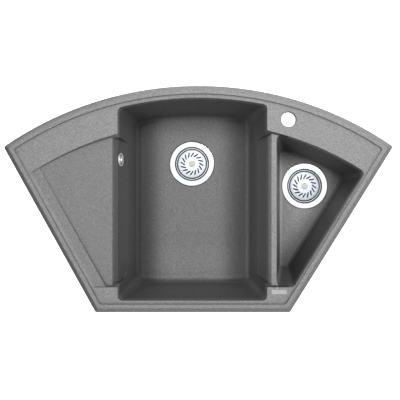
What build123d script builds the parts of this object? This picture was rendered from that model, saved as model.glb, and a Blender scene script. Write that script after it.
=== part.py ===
from build123d import *
import math
import os

os.makedirs("parts", exist_ok=True)

# Frame: +Z up, +X right, +Y towards the curved back. Z = 0 is the worktop that the rim rests on.
# The origin lies on the underside of the front rim, midway between the main bowl's two sides.

# ---- sink body: outline in plan ----
RIM_FRONT_Y = -10.0  # outer front edge
FRONT_LEFT_X = -227.0  # where the front edge meets the left side
FRONT_RIGHT_X = 229.0
LEFT_LEAN = -29.1  # degrees that each side leans away from +Y
RIGHT_LEAN = 31.9
ARC_R = 802.0  # curved back
BACK_Y = 520.7  # its furthest point
ARC_X, ARC_Y = 14.7, BACK_Y - ARC_R  # its centre
CORNER_R = 6.0

# ---- sink body: rim, deck and recesses ----
RIM_TOP = 11.0
RIM_EDGE_H = 1.5  # short upright edge below the bevel
BEVEL_W = 10.0
BEVEL_CORNER_R = 4.5
RIM_TOP_R = 2.5  # rounding between bevel and rim top
POCKET_INSET = 19.0  # from the outer edge to the step down to the deck
POCKET_CORNER_R = 5.0
STEP_W = 1.4
STEP_R = 1.0
DECK_TOP = 7.5
EDGE_R = 2.0  # rounding of the main bowl's edge at deck level
SMALL_EDGE_R = 1.0
SLAB_INSET = 15.0  # the band outside this rests on the worktop
SLAB_CORNER_R = 8.0
SLAB_UNDER = -9.0
RECESS_ARC_INSET = 89.0  # from the curved back to the middle of the recesses' slope
RECESS_FRONT_Y = 50.9
RECESS_SLOPE = 0.6  # sideways run of the recess walls for each unit of height
BAND_INSET = 30.0  # shallow band along the left side
BAND_SLOPE_W = 8.0
BAND_TOP = 5.6
PANEL_INSET = 51.0  # from the left side to the draining panel
PANEL_HIGH = 4.4  # panel height at PANEL_HIGH_X
PANEL_HIGH_X = -355.0
RECESS_LOW = 0.0  # panel height at the main bowl's lip, and the height of the divider
LIP_W, LIP_H = 13.0, 20.0  # slope from the panel down to the main bowl's wall
LIP_FOOT = 2.4  # how far the lips' feet stand outside the main bowl's opening
LIP_R = 3.0
DIVIDER_LIP_W, DIVIDER_LIP_H = 10.5, 15.0
LIP_BREAK_Z = -4.0  # below this the recesses' ends, seen past the lips, are steeper
LIP_BLEND_Z = -95.0  # where the wall below a lip runs into the plain wall
LIP_BLEND_IN = 14.0
RECESS_CORNER_R = 4.0

# ---- bowls ----
WALL = 8.0
FLOOR_T = 10.0
SHOULDER_LAP = 10.0  # how far the thicker wall behind the lips runs down into the plain wall
SHOULDER_INSIDE = 1.0  # its front and back lie this far inside the plain wall's
MAIN_HALF_W = 174.8
MAIN_FRONT_Y = 18.1
MAIN_ARC_INSET = 29.0
MAIN_DEPTH = 200.0
MAIN_SIDE_DRAFT = 33.0  # how far a wall moves in from deck to floor
MAIN_END_DRAFT = 25.0
MAIN_TOP_CORNER_R = 10.5
MAIN_FOOT_CORNER_R = 26.0
MAIN_FLOOR_R = 20.0
SMALL_LEFT_X = 196.2
SMALL_FRONT_Y = 49.6
SMALL_RIGHT_INSET = 23.7
SMALL_ARC_INSET = 87.5
SMALL_DEPTH = 145.0
SMALL_LEFT_DRAFT = 21.0
SMALL_BACK_DRAFT = 23.0
SMALL_RIGHT_DRAFT = 20.0
SMALL_FRONT_DRAFT = 38.0
SMALL_TOP_CORNER_R = 11.0
SMALL_FOOT_CORNER_R = 12.0
SMALL_FLOOR_R = 11.0

# ---- holes ----
TAP_X, TAP_Y = 225.0, BACK_Y - 79.2
TAP_HOLE_R = 17.5
MAIN_WASTE_X, MAIN_WASTE_Y = -2.6, BACK_Y - 175.0
SMALL_WASTE_X, SMALL_WASTE_Y = 279.8, BACK_Y - 232.8
WASTE_HOLE_R = 45.0
WASTE_RECESS_R = 58.5
WASTE_RECESS_H = 3.0
WASTE_FACING_H = 4.0  # how far above the floor the recess is cut into the rounding at its edge
OVERFLOW_Y = BACK_Y - 171.2
OVERFLOW_Z = -40.0
OVERFLOW_HOLE_R = 11.0

# ---- badge ----
BADGE_X, BADGE_Y = 203.2, 37.6
BADGE_W, BADGE_D, BADGE_T = 34.6, 9.8, 0.8
BADGE_CORNER_R = 1.2
BADGE_EDGE_R = 0.3

# ---- basket wastes; heights are measured from the bowl's floor ----
GAP = 0.3  # between pieces that move past each other or are left free
SEAT_GAP = 0.05  # between pieces that are screwed or pressed together
SHEET = 0.9  # stainless sheet
GASKET_T = 2.0
FLANGE_R = 56.5
FLANGE_T = 1.5
FLANGE_EDGE_R = 0.7
MOUTH_R = 42.4  # inside of the flange
LEDGE_H = 4.0  # depth of the ledge that the basket hangs on
CUP_R = 39.2  # inside of the waste cup
CUP_DEPTH = 36.0
DRAIN_HOLE_R = 7.0
DRAIN_RING_R = 20.0
DRAIN_HOLES = 6
BASKET_RIM_R = 41.4
CHANNEL_R = 38.6  # outside of the groove round the basket
CHANNEL_H = 2.8
GROOVE_W = 1.4
BASKET_DEPTH = 27.0
BASKET_TAPER = 3.0
BASKET_HOLE_R = 2.2
BASKET_RINGS = ((25.0, 18), (16.0, 12))  # radius and number of holes in the basket's bottom
BASKET_SLOTS = 20
BASKET_SLOT_W, BASKET_SLOT_H = 3.0, 11.0
COVER_R = 36.1
COVER_T = 1.0
COVER_DOME = 1.6
COVER_SLOTS = 16
SLOT_W = 2.4
SLOT_IN_R, SLOT_OUT_R = 18.5, 29.0
SLOT_SWIRL = 18.0  # degrees that a slot's outer end lies clockwise of its inner end
KNOB_R = 7.5
KNOB_H = 3.2
KNOB_EDGE_R = 1.2
STEM_R = 2.2
STOPPER_R = 30.0
STOPPER_LIP_H = 2.6
HUB_R = 12.0
HUB_RECESS_R, HUB_RECESS_H = 6.5, 3.6
CLAMP_HEAD_R, CLAMP_HEAD_H = 5.5, 2.8
CLAMP_R = 3.0
CLAMP_LENGTH = 19.0
DRIVE_SLOT_W, DRIVE_SLOT_H = 1.4, 1.4
HOUSING_RIM_R = 55.0
HOUSING_RIM_T = 4.0
HOUSING_WALL = 2.6
HOUSING_DEPTH = 64.0
CONE_H = 14.0
BOSS_R = 7.0
BOSS_TOP, BOSS_H = 40.0, 14.0
RIBS = 3
RIB_T = 3.0

# ---- pipes and union nuts ----
PIPE_R = 20.0
PIPE_WALL = 2.0
SOCKET_WALL = 2.7
SOCKET_DEPTH = 20.0
NUT_R = 28.0
NUT_H = 16.0
NUT_LIP = 2.5
NUT_RIBS = 12
NUT_RIB_R = 1.6
SEAL_T = 2.4
RUN_Z = -325.0  # axis of the pipe that joins the two wastes
TEE_ARM = 40.0  # from the tee's centre to each of its ends
BEND_R = 32.0
BEND_ARM = 54.0  # from the branch elbow's corner to each of its ends
TRAP_COLLAR_GAP = 22.0  # from the tee's foot to the trap's collar
TRAP_COLLAR_H = 22.0
TRAP_R = 36.0
TRAP_WALL = 2.6
TRAP_H = 70.0
TRAP_CUP_LAP = 16.0
TRAP_CUP_H = 30.0  # below the trap's body
TRAP_RIBS = 16
TUBE_FOOT = 24.0  # water way between the dip tube and the cup's floor
OUTLET_DROP = 25.0  # from the trap's top to the outlet's axis
OUTLET_ARM = 62.0  # from the trap's axis to the end of its outlet
OUTLET_BEAD_R, OUTLET_BEAD_W = 21.0, 3.0  # ridge that keeps the nut on the outlet pipe
OUTLET_BARE_L = 60.0  # smooth end of the outlet pipe, which goes into the wall's socket

# ---- overflow ----
ROSETTE_R = 16.0
ROSETTE_T = 2.4
ROSETTE_EDGE_R = 1.0
ROSETTE_SLOT_R = 10.2
ROSETTE_SLOT_W = 4.6
ROSETTE_SLOTS = 2
ROSETTE_SLOT_SPAN = 70.0  # degrees that each opening goes round
OVERFLOW_SCREW_R = 2.5
OVERFLOW_HEAD_R, OVERFLOW_HEAD_H = 4.0, 1.6
ELBOW_R = 18.0
ELBOW_DEPTH = 27.0
ELBOW_WALL = 2.5
ELBOW_BOSS_R = 5.0
TAIL_R = 11.0  # overflow pipe
TAIL_WALL = 1.6
TAIL_SOCKET_WALL = 2.2
TAIL_SOCKET_L = 18.0
TAIL_DROP = 38.0  # from the elbow's centre to the socket's mouth
TAIL_BEND_R = 30.0
TAIL_INLET_Z = 51.0  # depth of the inlet's axis below the main bowl's floor
TAIL_INLET_L = 24.0
TAIL_NUT_R, TAIL_NUT_H, TAIL_NUT_LIP = 16.5, 11.0, 2.0

# ---- rim clips ----
CLIP_LEFT_ENDS = (114.0, 89.0)  # from the left side's front and back corners to its clips
CLIP_RIGHT_ENDS = (21.0, 34.0)
CLIP_ARC_ANGLES = (68.0, 112.0)  # degrees from +X about the centre of the curved back
CLIP_INSET = 23.0
INSERT_R, INSERT_H = 3.6, 7.0
CLIP_SCREW_R = 2.5
CLIP_HEAD_R, CLIP_HEAD_H = 4.6, 3.0
WORKTOP_T = 30.0  # thickness of the worktop that the clips are set for
ARM_IN, ARM_OUT = 13.0, 18.0  # reach of a clip to either side of its screw
ARM_W, ARM_T = 16.0, 2.0
ARM_TOOTH = 6.0
ARM_BEND_R = 2.5

FAR = 700.0  # reach of cutting shapes past the sink


# ---- plan shapes ----
def leaning(x_at_front, lean, inset):
    """A side of the outline as (x at y = 0, change of x with y), moved by inset towards +X."""
    slope = math.tan(math.radians(lean))
    return x_at_front - RIM_FRONT_Y * slope + inset / math.cos(math.radians(lean)), slope


def left_side(inset):
    return leaning(FRONT_LEFT_X, LEFT_LEAN, inset)


def right_side(inset):
    return leaning(FRONT_RIGHT_X, RIGHT_LEAN, -inset)


def upright(x):
    return x, 0.0


def on_arc(side, radius):
    """Where a side meets the circle of this radius about the centre of the curved back."""
    x0, slope = side
    a = slope * slope + 1
    half_b = slope * (x0 - ARC_X) - ARC_Y
    c = (x0 - ARC_X) ** 2 + ARC_Y**2 - radius**2
    y = (-half_b + math.sqrt(half_b * half_b - a * c)) / a
    return x0 + slope * y, y


def plan(left, right, front_y, radius, corner_r):
    """Face with two straight sides, a straight front and a curved back, in the open sketch."""
    front_left = (left[0] + left[1] * front_y, front_y)
    front_right = (right[0] + right[1] * front_y, front_y)
    back_left = on_arc(left, radius)
    back_right = on_arc(right, radius)
    middle_x = (back_left[0] + back_right[0]) / 2
    middle = (middle_x, ARC_Y + math.sqrt(radius**2 - (middle_x - ARC_X) ** 2))
    with BuildLine() as border:
        Polyline(back_left, front_left, front_right, back_right)
        ThreePointArc(back_right, middle, back_left)
    face = make_face(border.edges())
    fillet(face.vertices(), corner_r)


def inset_plan(inset, corner_r):
    plan(left_side(inset), right_side(inset), RIM_FRONT_Y + inset, ARC_R - inset, corner_r)


def main_half(z):
    """Half width of the main bowl at a height."""
    return MAIN_HALF_W - (DECK_TOP - z) / MAIN_DEPTH * MAIN_SIDE_DRAFT


def main_plan(z, grow, corner_r, half=None):
    """Main bowl in plan at a height, widened all round by grow, or with its own half width."""
    share = (DECK_TOP - z) / MAIN_DEPTH
    half = half or main_half(z) + grow
    front = MAIN_FRONT_Y + share * MAIN_END_DRAFT - grow
    radius = ARC_R - MAIN_ARC_INSET - share * MAIN_END_DRAFT + grow
    plan(upright(-half), upright(half), front, radius, corner_r)


def small_plan(z, grow, corner_r):
    share = (DECK_TOP - z) / SMALL_DEPTH
    left = upright(SMALL_LEFT_X + share * SMALL_LEFT_DRAFT - grow)
    right = right_side(SMALL_RIGHT_INSET + share * SMALL_RIGHT_DRAFT - grow)
    front = SMALL_FRONT_Y + share * SMALL_FRONT_DRAFT - grow
    radius = ARC_R - SMALL_ARC_INSET - share * SMALL_BACK_DRAFT + grow
    plan(left, right, front, radius, corner_r)


def tub(bowl_plan, top_z, foot_z, grow, top_corner_r, foot_corner_r, floor_r):
    """Tapered tub with a rounded floor, between two heights."""
    with BuildPart() as shape:
        with BuildSketch(Plane.XY.offset(top_z)):
            bowl_plan(top_z, grow, top_corner_r + grow)
        with BuildSketch(Plane.XY.offset(foot_z)):
            bowl_plan(foot_z, grow, foot_corner_r + grow)
        loft(ruled=True)
        foot = faces().sort_by(Axis.Z)[0]
        fillet(foot.edges(), floor_r + grow)
    return shape.part


def recess_plan(left_inset, out):
    """The area shared by the drainer and the divider, widened at its front and back by out."""
    radius = ARC_R - RECESS_ARC_INSET + out
    right = right_side(SMALL_RIGHT_INSET + WALL)
    plan(left_side(left_inset), right, RECESS_FRONT_Y - out, radius, RECESS_CORNER_R)


MAIN_FLOOR_Z = DECK_TOP - MAIN_DEPTH
SMALL_FLOOR_Z = DECK_TOP - SMALL_DEPTH
WASTES = (
    ("main", Plane((MAIN_WASTE_X, MAIN_WASTE_Y, MAIN_FLOOR_Z))),
    ("small", Plane((SMALL_WASTE_X, SMALL_WASTE_Y, SMALL_FLOOR_Z))),
)
RECESS_MID_Z = (DECK_TOP + RECESS_LOW) / 2
LIP_FOOT_X = MAIN_HALF_W + LIP_FOOT
LIP_FOOT_Z = RECESS_LOW - LIP_H
LIP_BLEND_X = main_half(LIP_BLEND_Z)
LIP_WALL_ANGLE = math.atan2(LIP_FOOT_X - LIP_BLEND_X, LIP_FOOT_Z - LIP_BLEND_Z)
PANEL_FALL = (PANEL_HIGH - RECESS_LOW) / (PANEL_HIGH_X + MAIN_HALF_W + LIP_W)


def lip_wall_x(z):
    """Distance from the bowl's middle to the wall below a lip."""
    return LIP_FOOT_X + (z - LIP_FOOT_Z) * math.tan(LIP_WALL_ANGLE)


# ---- shapes that the sink body is cut with ----
with BuildPart() as pocket_space:
    with BuildSketch(Plane.XY.offset(DECK_TOP)):
        inset_plan(POCKET_INSET + STEP_W, POCKET_CORNER_R)
    with BuildSketch(Plane.XY.offset(RIM_TOP)):
        inset_plan(POCKET_INSET, POCKET_CORNER_R + STEP_W)
    loft(ruled=True)
    fillet(faces().sort_by(Axis.Z)[0].edges(), STEP_R)

# sections of the recesses at four heights; above the second lies the shallow band
RECESS_LEVELS = (
    (DECK_TOP, BAND_INSET - BAND_SLOPE_W, DECK_TOP - RECESS_MID_Z),
    (BAND_TOP, BAND_INSET, BAND_TOP - RECESS_MID_Z),
    (LIP_BREAK_Z, BAND_INSET, LIP_BREAK_Z - RECESS_MID_Z),
    (LIP_BLEND_Z, BAND_INSET, LIP_BREAK_Z - RECESS_MID_Z - LIP_BLEND_IN / RECESS_SLOPE),
)


def recess_stage(index):
    """Solid between two of the recesses' sections."""
    with BuildPart() as shape:
        for z, left_inset, above_middle in RECESS_LEVELS[index : index + 2]:
            with BuildSketch(Plane.XY.offset(z)):
                recess_plan(left_inset, above_middle * RECESS_SLOPE)
        loft(ruled=True)
    return shape.part


with BuildPart() as crease_side:
    for z in (2 * LIP_BLEND_Z, RIM_TOP):
        left_x, left_slope = left_side(PANEL_INSET - (z - RECESS_MID_Z) * RECESS_SLOPE)
        with BuildSketch(Plane.XY.offset(z)):
            with BuildLine():
                Polyline(
                    (left_x - left_slope * FAR, -FAR),
                    (FAR, -FAR),
                    (FAR, FAR),
                    (left_x + left_slope * FAR, FAR),
                    close=True,
                )
            make_face()
    loft(ruled=True)

with BuildPart() as panel_space:
    add(recess_stage(1))
    add(recess_stage(2))
    with BuildSketch(Plane.XZ):
        with BuildLine():
            Polyline(
                (-FAR, FAR),
                (-FAR, RECESS_LOW - (FAR - MAIN_HALF_W - LIP_W) * PANEL_FALL),
                (-MAIN_HALF_W - LIP_W, RECESS_LOW),
                (-LIP_FOOT_X, LIP_FOOT_Z),
                (-LIP_BLEND_X, LIP_BLEND_Z),
                (LIP_BLEND_X, LIP_BLEND_Z),
                (lip_wall_x(RECESS_LOW - DIVIDER_LIP_H), RECESS_LOW - DIVIDER_LIP_H),
                (MAIN_HALF_W + DIVIDER_LIP_W, RECESS_LOW),
                (FAR, RECESS_LOW),
                (FAR, FAR),
                close=True,
            )
        make_face()
        lip_tops = vertices().filter_by_position(Axis.Y, RECESS_LOW - 1, RECESS_LOW + 1)
        fillet(lip_tops.filter_by_position(Axis.X, -FAR / 2, FAR / 2), LIP_R)
    extrude(amount=-FAR, mode=Mode.INTERSECT)
    add(crease_side.part, mode=Mode.INTERSECT)

main_space = tub(
    main_plan, RIM_TOP, MAIN_FLOOR_Z, 0, MAIN_TOP_CORNER_R, MAIN_FOOT_CORNER_R, MAIN_FLOOR_R
)
small_space = tub(
    small_plan, RIM_TOP, SMALL_FLOOR_Z, 0, SMALL_TOP_CORNER_R, SMALL_FOOT_CORNER_R, SMALL_FLOOR_R
)

# ---- sink body ----
SHELL_TOP = SLAB_UNDER / 2
OVERFLOW_X = -lip_wall_x(OVERFLOW_Z)
OVERFLOW_PLANE = Plane(
    origin=(OVERFLOW_X, OVERFLOW_Y, OVERFLOW_Z),
    x_dir=(0, 1, 0),
    z_dir=(math.cos(LIP_WALL_ANGLE), 0, math.sin(LIP_WALL_ANGLE)),
)


def clip_places():
    """Planes at the clips' screws, on the slab's underside: x points outwards, z down."""
    places = []
    for side, ends in ((left_side(0), CLIP_LEFT_ENDS), (right_side(0), CLIP_RIGHT_ENDS)):
        front = Vector(side[0] + side[1] * RIM_FRONT_Y, RIM_FRONT_Y, SLAB_UNDER)
        back = Vector(*on_arc(side, ARC_R), SLAB_UNDER)
        along = (back - front).normalized()
        outwards = Vector(along.Y, -along.X, 0) * math.copysign(1, side[1])
        for edge in (front + along * ends[0], back - along * ends[1]):
            places.append((edge - outwards * CLIP_INSET, outwards))
    for angle in CLIP_ARC_ANGLES:
        outwards = Vector(math.cos(math.radians(angle)), math.sin(math.radians(angle)), 0)
        centre = Vector(ARC_X, ARC_Y, SLAB_UNDER)
        places.append((centre + outwards * (ARC_R - CLIP_INSET), outwards))
    return [Plane(origin=p, x_dir=d, z_dir=(0, 0, -1)) for p, d in places]


def arc_inset(point):
    return ARC_R - math.hypot(point.X - ARC_X, point.Y - ARC_Y)


def round_main_bowl(point):
    """Whether a point at deck level lies on the main bowl's edge."""
    across = abs(point.X) < MAIN_HALF_W + SEAT_GAP
    return across and point.Y > MAIN_FRONT_Y - EDGE_R and arc_inset(point) > MAIN_ARC_INSET - EDGE_R


def right_of_small_bowl(point):
    """Whether a point at deck level lies on the small bowl's edge beside the rim."""
    x_at_front, slope = right_side(0)
    right_inset = (x_at_front + slope * point.Y - point.X) * math.cos(math.radians(RIGHT_LEAN))
    beside_rim = right_inset < SMALL_RIGHT_INSET + SMALL_TOP_CORNER_R / 2
    return beside_rim and point.Y > SMALL_FRONT_Y + SEAT_GAP and arc_inset(point) > SMALL_ARC_INSET


def deck_edges(body, wanted):
    """Edges at deck level whose middle passes a test."""
    chosen = []
    for edge in body.edges():
        points = [edge.position_at(share) for share in (0, 0.5, 1)]
        if all(abs(p.Z - DECK_TOP) < SEAT_GAP for p in points) and wanted(points[1]):
            chosen.append(edge)
    return chosen


CLIP_PLACES = clip_places()

with BuildPart() as sink_body:
    with BuildSketch():
        inset_plan(0, CORNER_R)
    extrude(amount=RIM_EDGE_H)
    with BuildSketch(Plane.XY.offset(RIM_EDGE_H)):
        inset_plan(0, CORNER_R)
    with BuildSketch(Plane.XY.offset(RIM_TOP)):
        inset_plan(BEVEL_W, BEVEL_CORNER_R)
    loft(ruled=True)
    fillet(faces().sort_by(Axis.Z)[-1].edges(), RIM_TOP_R)
    with BuildSketch(Plane.XY.offset(SLAB_UNDER)):
        inset_plan(SLAB_INSET, SLAB_CORNER_R)
    extrude(amount=RIM_EDGE_H - SLAB_UNDER)
    # outer walls of the two bowls
    add(
        tub(
            main_plan,
            SHELL_TOP,
            MAIN_FLOOR_Z - FLOOR_T,
            WALL,
            MAIN_TOP_CORNER_R,
            MAIN_FOOT_CORNER_R,
            MAIN_FLOOR_R,
        )
    )
    add(
        tub(
            small_plan,
            SHELL_TOP,
            SMALL_FLOOR_Z - FLOOR_T,
            WALL,
            SMALL_TOP_CORNER_R,
            SMALL_FOOT_CORNER_R,
            SMALL_FLOOR_R,
        )
    )
    lip_wall = WALL / math.cos(LIP_WALL_ANGLE)
    shoulder_out = WALL - SHOULDER_INSIDE
    for z in (SHELL_TOP, LIP_BLEND_Z - SHOULDER_LAP):
        with BuildSketch(Plane.XY.offset(z)):
            main_plan(z, shoulder_out, MAIN_TOP_CORNER_R + WALL, lip_wall_x(z) + lip_wall)
    loft(ruled=True)
    # everything that is open
    add(pocket_space.part, mode=Mode.SUBTRACT)
    add(recess_stage(0), mode=Mode.SUBTRACT)
    add(panel_space.part, mode=Mode.SUBTRACT)
    add(main_space, mode=Mode.SUBTRACT)
    add(small_space, mode=Mode.SUBTRACT)
    fillet(deck_edges(sink_body, round_main_bowl), EDGE_R)
    fillet(deck_edges(sink_body, right_of_small_bowl), SMALL_EDGE_R)
    with Locations((TAP_X, TAP_Y, DECK_TOP)):
        Hole(TAP_HOLE_R)
    for _, waste in WASTES:
        with BuildSketch(waste.offset(-WASTE_RECESS_H)):
            Circle(WASTE_RECESS_R)
        extrude(amount=WASTE_RECESS_H + WASTE_FACING_H, mode=Mode.SUBTRACT)
        with BuildSketch(waste):
            Circle(WASTE_HOLE_R)
        extrude(amount=-2 * FLOOR_T, mode=Mode.SUBTRACT)
    with BuildSketch(OVERFLOW_PLANE):
        Circle(OVERFLOW_HOLE_R)
    extrude(amount=2 * WALL, both=True, mode=Mode.SUBTRACT)
    for place in CLIP_PLACES:
        with BuildSketch(place):
            Circle(INSERT_R + SEAT_GAP)
        extrude(amount=-INSERT_H, mode=Mode.SUBTRACT)
sink_body.part.label = "sink_body"
export_step(sink_body.part, "parts/sink_body.step")


# ---- badge ----
with BuildPart() as badge_plate:
    with BuildSketch(Plane((BADGE_X, BADGE_Y, DECK_TOP + SEAT_GAP))):
        RectangleRounded(BADGE_W, BADGE_D, BADGE_CORNER_R)
    extrude(amount=BADGE_T)
    fillet(badge_plate.faces().sort_by(Axis.Z)[-1].edges(), BADGE_EDGE_R)
badge_plate.part.label = "badge_plate"
export_step(badge_plate.part, "parts/badge_plate.step")


# ---- shared shapes ----
def ring(plane, outer_r, inner_r, height):
    """Flat ring standing on a plane."""
    with BuildPart() as shape:
        with BuildSketch(plane):
            Circle(outer_r)
            Circle(inner_r, mode=Mode.SUBTRACT)
        extrude(amount=height)
    return shape.part


def turned(axis_plane, points):
    """Solid of revolution about a plane's z; points are (radius, height) round its section."""
    section = Plane(axis_plane.origin, x_dir=axis_plane.x_dir, z_dir=-axis_plane.y_dir)
    with BuildPart() as shape:
        with BuildSketch(section):
            with BuildLine():
                Polyline(*points, close=True)
            make_face()
        revolve(axis=Axis(axis_plane.origin, axis_plane.z_dir))
    return shape.part


def tube(start, corner, end, bend_r, outer_r, inner_r):
    """Pipe along two legs that meet at a right angle, with a bend at their corner."""
    first = (start - corner).normalized() * bend_r
    second = (end - corner).normalized() * bend_r
    middle = corner + (first + second) * (1 - math.sqrt(0.5))
    legs = (
        Edge.make_line(start, corner + first),
        Edge.make_three_point_arc(corner + first, middle, corner + second),
        Edge.make_line(corner + second, end),
    )
    with BuildPart() as shape:
        with BuildSketch(Plane(start, z_dir=corner - start)):
            Circle(outer_r)
            Circle(inner_r, mode=Mode.SUBTRACT)
        sweep(path=Wire(legs))
    return shape.part


def round_edges(shape, radius, height, plane):
    """Edges of a turned shape at this radius and height, measured on its plane."""
    chosen = []
    for edge in shape.edges().filter_by(GeomType.CIRCLE):
        local = plane.to_local_coords(edge.center(CenterOf.MASS))
        if abs(edge.radius - radius) < SEAT_GAP and abs(local.Z - height) < SEAT_GAP:
            chosen.append(edge)
    return chosen


# ---- basket wastes ----
FLANGE_UNDER = -WASTE_RECESS_H + GASKET_T
FLANGE_TOP = FLANGE_UNDER + FLANGE_T
RIM_UNDER = -LEDGE_H + GAP
RIM_SURFACE = RIM_UNDER + SHEET
CHANNEL_FLOOR = RIM_SURFACE - CHANNEL_H
BASKET_R = CHANNEL_R - SHEET - GROOVE_W
COVER_SEAT = RIM_UNDER
COVER_TOP = COVER_SEAT + SEAT_GAP + COVER_T + COVER_DOME
KNOB_SEAT = COVER_TOP + SEAT_GAP
STOPPER_FOOT = -CUP_DEPTH + GAP
HUB_TOP = -BASKET_DEPTH - SHEET - SEAT_GAP
HOUSING_TOP = -FLOOR_T - GASKET_T
HOUSING_R = CUP_R + SHEET + 2 * GAP + HOUSING_WALL
CONE_FOOT = -HOUSING_DEPTH - CONE_H
MAIN_TUBE_FOOT = RUN_Z + TEE_ARM - SOCKET_DEPTH + GAP
SMALL_TUBE_FOOT = RUN_Z + BEND_ARM - SOCKET_DEPTH + GAP
ELBOW_FACE = -WALL - GASKET_T
ELBOW_BACK = ELBOW_FACE - ELBOW_DEPTH
ELBOW_CENTRE = OVERFLOW_PLANE.offset(ELBOW_FACE - ELBOW_DEPTH / 2).origin
TAIL_INLET = Plane(
    origin=(MAIN_WASTE_X, MAIN_WASTE_Y, MAIN_FLOOR_Z - TAIL_INLET_Z),
    x_dir=(0, 0, 1),
    z_dir=(ELBOW_CENTRE.X - MAIN_WASTE_X, ELBOW_CENTRE.Y - MAIN_WASTE_Y, 0),
)
TAIL_MOUTH = HOUSING_R + TAIL_INLET_L
TAIL_SOCKET_R = TAIL_R + GAP + TAIL_SOCKET_WALL

for bowl, waste in WASTES:
    with BuildPart() as waste_flange:
        profile = (
            (MOUTH_R, FLANGE_TOP),
            (FLANGE_R, FLANGE_TOP),
            (FLANGE_R, FLANGE_UNDER),
            (MOUTH_R + SHEET, FLANGE_UNDER),
            (MOUTH_R + SHEET, -LEDGE_H - SHEET),
            (CUP_R + SHEET, -LEDGE_H - SHEET),
            (CUP_R + SHEET, -CUP_DEPTH - SHEET),
            (CLAMP_R + GAP, -CUP_DEPTH - SHEET),
            (CLAMP_R + GAP, -CUP_DEPTH),
            (CUP_R, -CUP_DEPTH),
            (CUP_R, -LEDGE_H),
            (MOUTH_R, -LEDGE_H),
        )
        add(turned(waste, profile))
        fillet(round_edges(waste_flange, FLANGE_R, FLANGE_TOP, waste), FLANGE_EDGE_R)
        fillet(round_edges(waste_flange, MOUTH_R, FLANGE_TOP, waste), FLANGE_EDGE_R)
        with BuildSketch(waste.offset(-CUP_DEPTH)):
            with PolarLocations(DRAIN_RING_R, DRAIN_HOLES):
                Circle(DRAIN_HOLE_R)
        extrude(amount=-2 * SHEET, mode=Mode.SUBTRACT)
    waste_flange.part.label = f"{bowl}_waste_flange"
    export_step(waste_flange.part, f"parts/{bowl}_waste_flange.step")

    top_plane = waste.offset(-WASTE_RECESS_H + SEAT_GAP)
    top_gasket = ring(top_plane, FLANGE_R, WASTE_HOLE_R + SEAT_GAP, GASKET_T - 2 * SEAT_GAP)
    top_gasket.label = f"{bowl}_top_gasket"
    export_step(top_gasket, f"parts/{bowl}_top_gasket.step")

    under_plane = waste.offset(HOUSING_TOP + SEAT_GAP)
    under_gasket = ring(
        under_plane, HOUSING_RIM_R, WASTE_HOLE_R + SEAT_GAP, GASKET_T - 2 * SEAT_GAP
    )
    under_gasket.label = f"{bowl}_under_gasket"
    export_step(under_gasket, f"parts/{bowl}_under_gasket.step")

    tube_foot = (MAIN_TUBE_FOOT if bowl == "main" else SMALL_TUBE_FOOT) - waste.origin.Z
    bore = PIPE_R - PIPE_WALL
    with BuildPart() as waste_housing:
        outside = (
            (0, HOUSING_TOP),
            (HOUSING_RIM_R, HOUSING_TOP),
            (HOUSING_RIM_R, HOUSING_TOP - HOUSING_RIM_T),
            (HOUSING_R, HOUSING_TOP - HOUSING_RIM_T),
            (HOUSING_R, -HOUSING_DEPTH),
            (PIPE_R, CONE_FOOT),
            (PIPE_R, tube_foot),
            (0, tube_foot),
        )
        add(turned(waste, outside))
        if bowl == "main":
            with BuildSketch(TAIL_INLET.offset(HOUSING_R - HOUSING_WALL)):
                Circle(TAIL_SOCKET_R)
            extrude(amount=TAIL_MOUTH - HOUSING_R + HOUSING_WALL)
        inside = (
            (0, HOUSING_TOP + GAP),
            (HOUSING_R - HOUSING_WALL, HOUSING_TOP + GAP),
            (HOUSING_R - HOUSING_WALL, -HOUSING_DEPTH),
            (bore, CONE_FOOT),
            (bore, tube_foot - GAP),
            (0, tube_foot - GAP),
        )
        add(turned(waste, inside), mode=Mode.SUBTRACT)
        if bowl == "main":
            with BuildSketch(TAIL_INLET.offset(TAIL_MOUTH - TAIL_SOCKET_L)):
                Circle(TAIL_R + GAP)
            extrude(amount=2 * TAIL_SOCKET_L, mode=Mode.SUBTRACT)
            with BuildSketch(TAIL_INLET.offset(HOUSING_R - 2 * HOUSING_WALL)):
                Circle(TAIL_R - TAIL_WALL)
            extrude(amount=2 * TAIL_SOCKET_L, mode=Mode.SUBTRACT)
        with BuildSketch(waste.offset(-BOSS_TOP)):
            Circle(BOSS_R)
            with PolarLocations(HOUSING_R / 2, RIBS, start_angle=90):
                Rectangle(HOUSING_R - HOUSING_WALL, RIB_T)
        extrude(amount=-BOSS_H)
        with BuildSketch(waste.offset(-BOSS_TOP)):
            Circle(CLAMP_R + SEAT_GAP)
        extrude(amount=-BOSS_H, mode=Mode.SUBTRACT)
    waste_housing.part.label = f"{bowl}_waste_housing"
    export_step(waste_housing.part, f"parts/{bowl}_waste_housing.step")

    with BuildPart() as clamp_screw:
        with BuildSketch(waste.offset(-CUP_DEPTH + SEAT_GAP)):
            Circle(CLAMP_HEAD_R)
        extrude(amount=CLAMP_HEAD_H)
        with BuildSketch(waste.offset(-CUP_DEPTH + SEAT_GAP)):
            Circle(CLAMP_R)
        extrude(amount=-CLAMP_LENGTH)
        with BuildSketch(waste.offset(-CUP_DEPTH + SEAT_GAP + CLAMP_HEAD_H)):
            Rectangle(3 * CLAMP_HEAD_R, DRIVE_SLOT_W)
        extrude(amount=-DRIVE_SLOT_H, mode=Mode.SUBTRACT)
    clamp_screw.part.label = f"{bowl}_clamp_screw"
    export_step(clamp_screw.part, f"parts/{bowl}_clamp_screw.step")

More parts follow.
